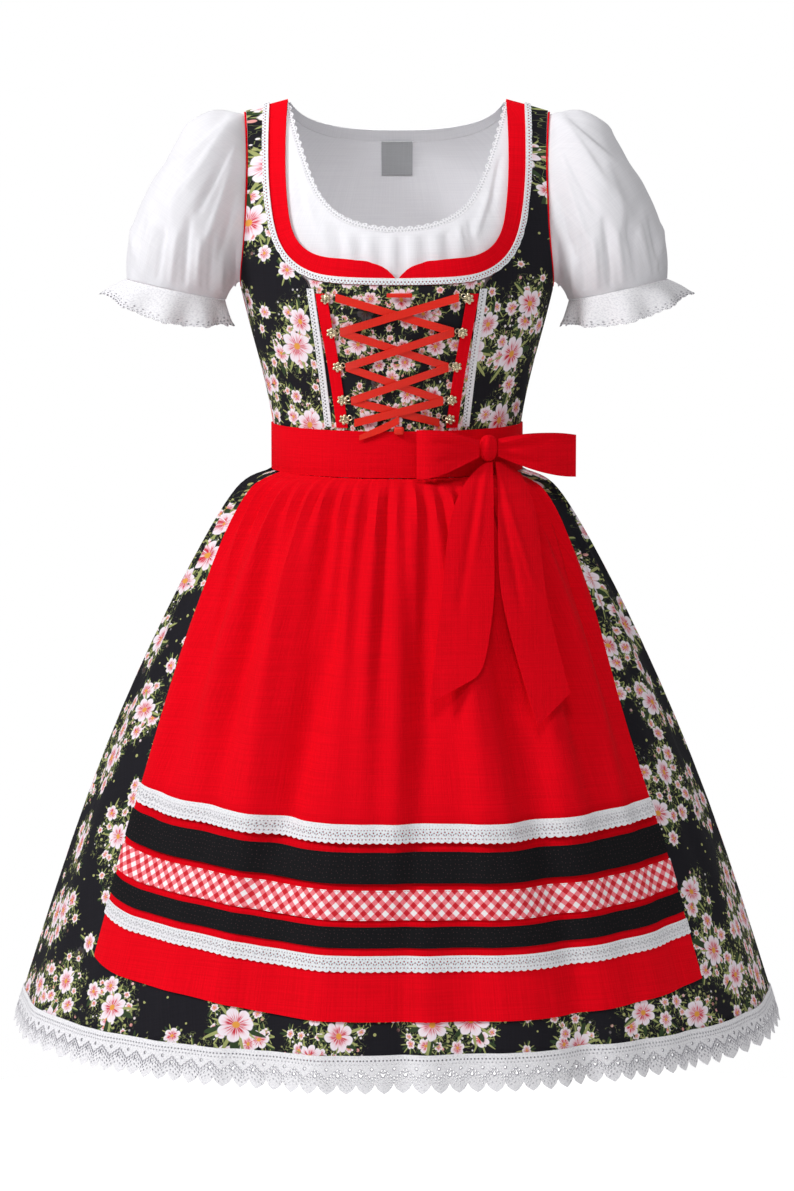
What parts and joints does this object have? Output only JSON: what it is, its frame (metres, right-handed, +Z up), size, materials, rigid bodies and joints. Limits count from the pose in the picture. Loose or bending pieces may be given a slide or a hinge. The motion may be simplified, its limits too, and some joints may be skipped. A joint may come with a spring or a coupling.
{
  "type": "dirndl set",
  "caption": "Dirndl set of a white puff-sleeved blouse, a laced floral dress with full skirt, and a red apron tied in a bow, filled out as worn.",
  "frame": {"origin": "middle between the two shoulder seams, where the wearer holds the set up", "axes": "+Z up, -Y the front, +X the right as seen from the front"},
  "size_m": [0.8232, 0.6727, 0.9769],
  "materials": {
    "floral_cotton": "dark cotton printed with small pale pink flowers",
    "red_cotton": "plain woven red cotton",
    "white_cotton": "thin white cotton",
    "cotton_lace": "white cotton bobbin lace and braid",
    "black_ribbon": "black ribbon with pin dots",
    "gingham_cotton": "red and white gingham cut on the bias",
    "satin_ribbon": "orange red satin ribbon",
    "hook_metal": "old gold coloured cast metal",
    "label_cloth": "plain woven grey label"
  },
  "bodies": {
    "root": {"neck_band_front": "red_cotton", "neck_band_back": "red_cotton", "bodice_centre_front": "floral_cotton", "bodice_centre_back": "floral_cotton", "bodice_side_front_right": "floral_cotton", "bodice_side_front_left": "floral_cotton", "bodice_side_back_right": "floral_cotton", "bodice_side_back_left": "floral_cotton", "neck_braid_front": "cotton_lace", "neck_braid_back": "cotton_lace", "seam_braid_right": "cotton_lace", "seam_braid_left": "cotton_lace", "hook_strip_right": "red_cotton", "hook_strip_left": "red_cotton", "armhole_piping_right": "red_cotton", "armhole_piping_left": "red_cotton", "blouse_front": "white_cotton", "blouse_neck_lace": "cotton_lace", "blouse_back": "white_cotton", "blouse_neck_casing": "white_cotton", "neck_label": "label_cloth", "sleeve_right": "white_cotton", "sleeve_left": "white_cotton", "cuff_frill_right": "white_cotton", "cuff_frill_left": "white_cotton", "skirt_front": "floral_cotton", "hem_lace_front": "cotton_lace", "skirt_back": "floral_cotton", "hem_lace_back": "cotton_lace", "apron_panel": "red_cotton", "apron_lace_upper": "cotton_lace", "apron_lace_lower": "cotton_lace", "apron_band_black_upper": "black_ribbon", "apron_band_black_lower": "black_ribbon", "apron_band_gingham": "gingham_cotton", "apron_waistband": "red_cotton", "apron_tie_back": "red_cotton", "bow_knot": "red_cotton", "bow_loop_left": "red_cotton", "bow_loop_right": "red_cotton", "bow_tail_left": "red_cotton", "bow_tail_right": "red_cotton", "hook_left_1": "hook_metal", "hook_right_1": "hook_metal", "hook_left_2": "hook_metal", "hook_right_2": "hook_metal", "hook_left_3": "hook_metal", "hook_right_3": "hook_metal", "hook_left_4": "hook_metal", "hook_right_4": "hook_metal", "hook_left_5": "hook_metal", "hook_right_5": "hook_metal", "lacing_ribbon_first": "satin_ribbon", "lacing_ribbon_second": "satin_ribbon", "lacing_end": "satin_ribbon"}
  },
  "joints": []
}
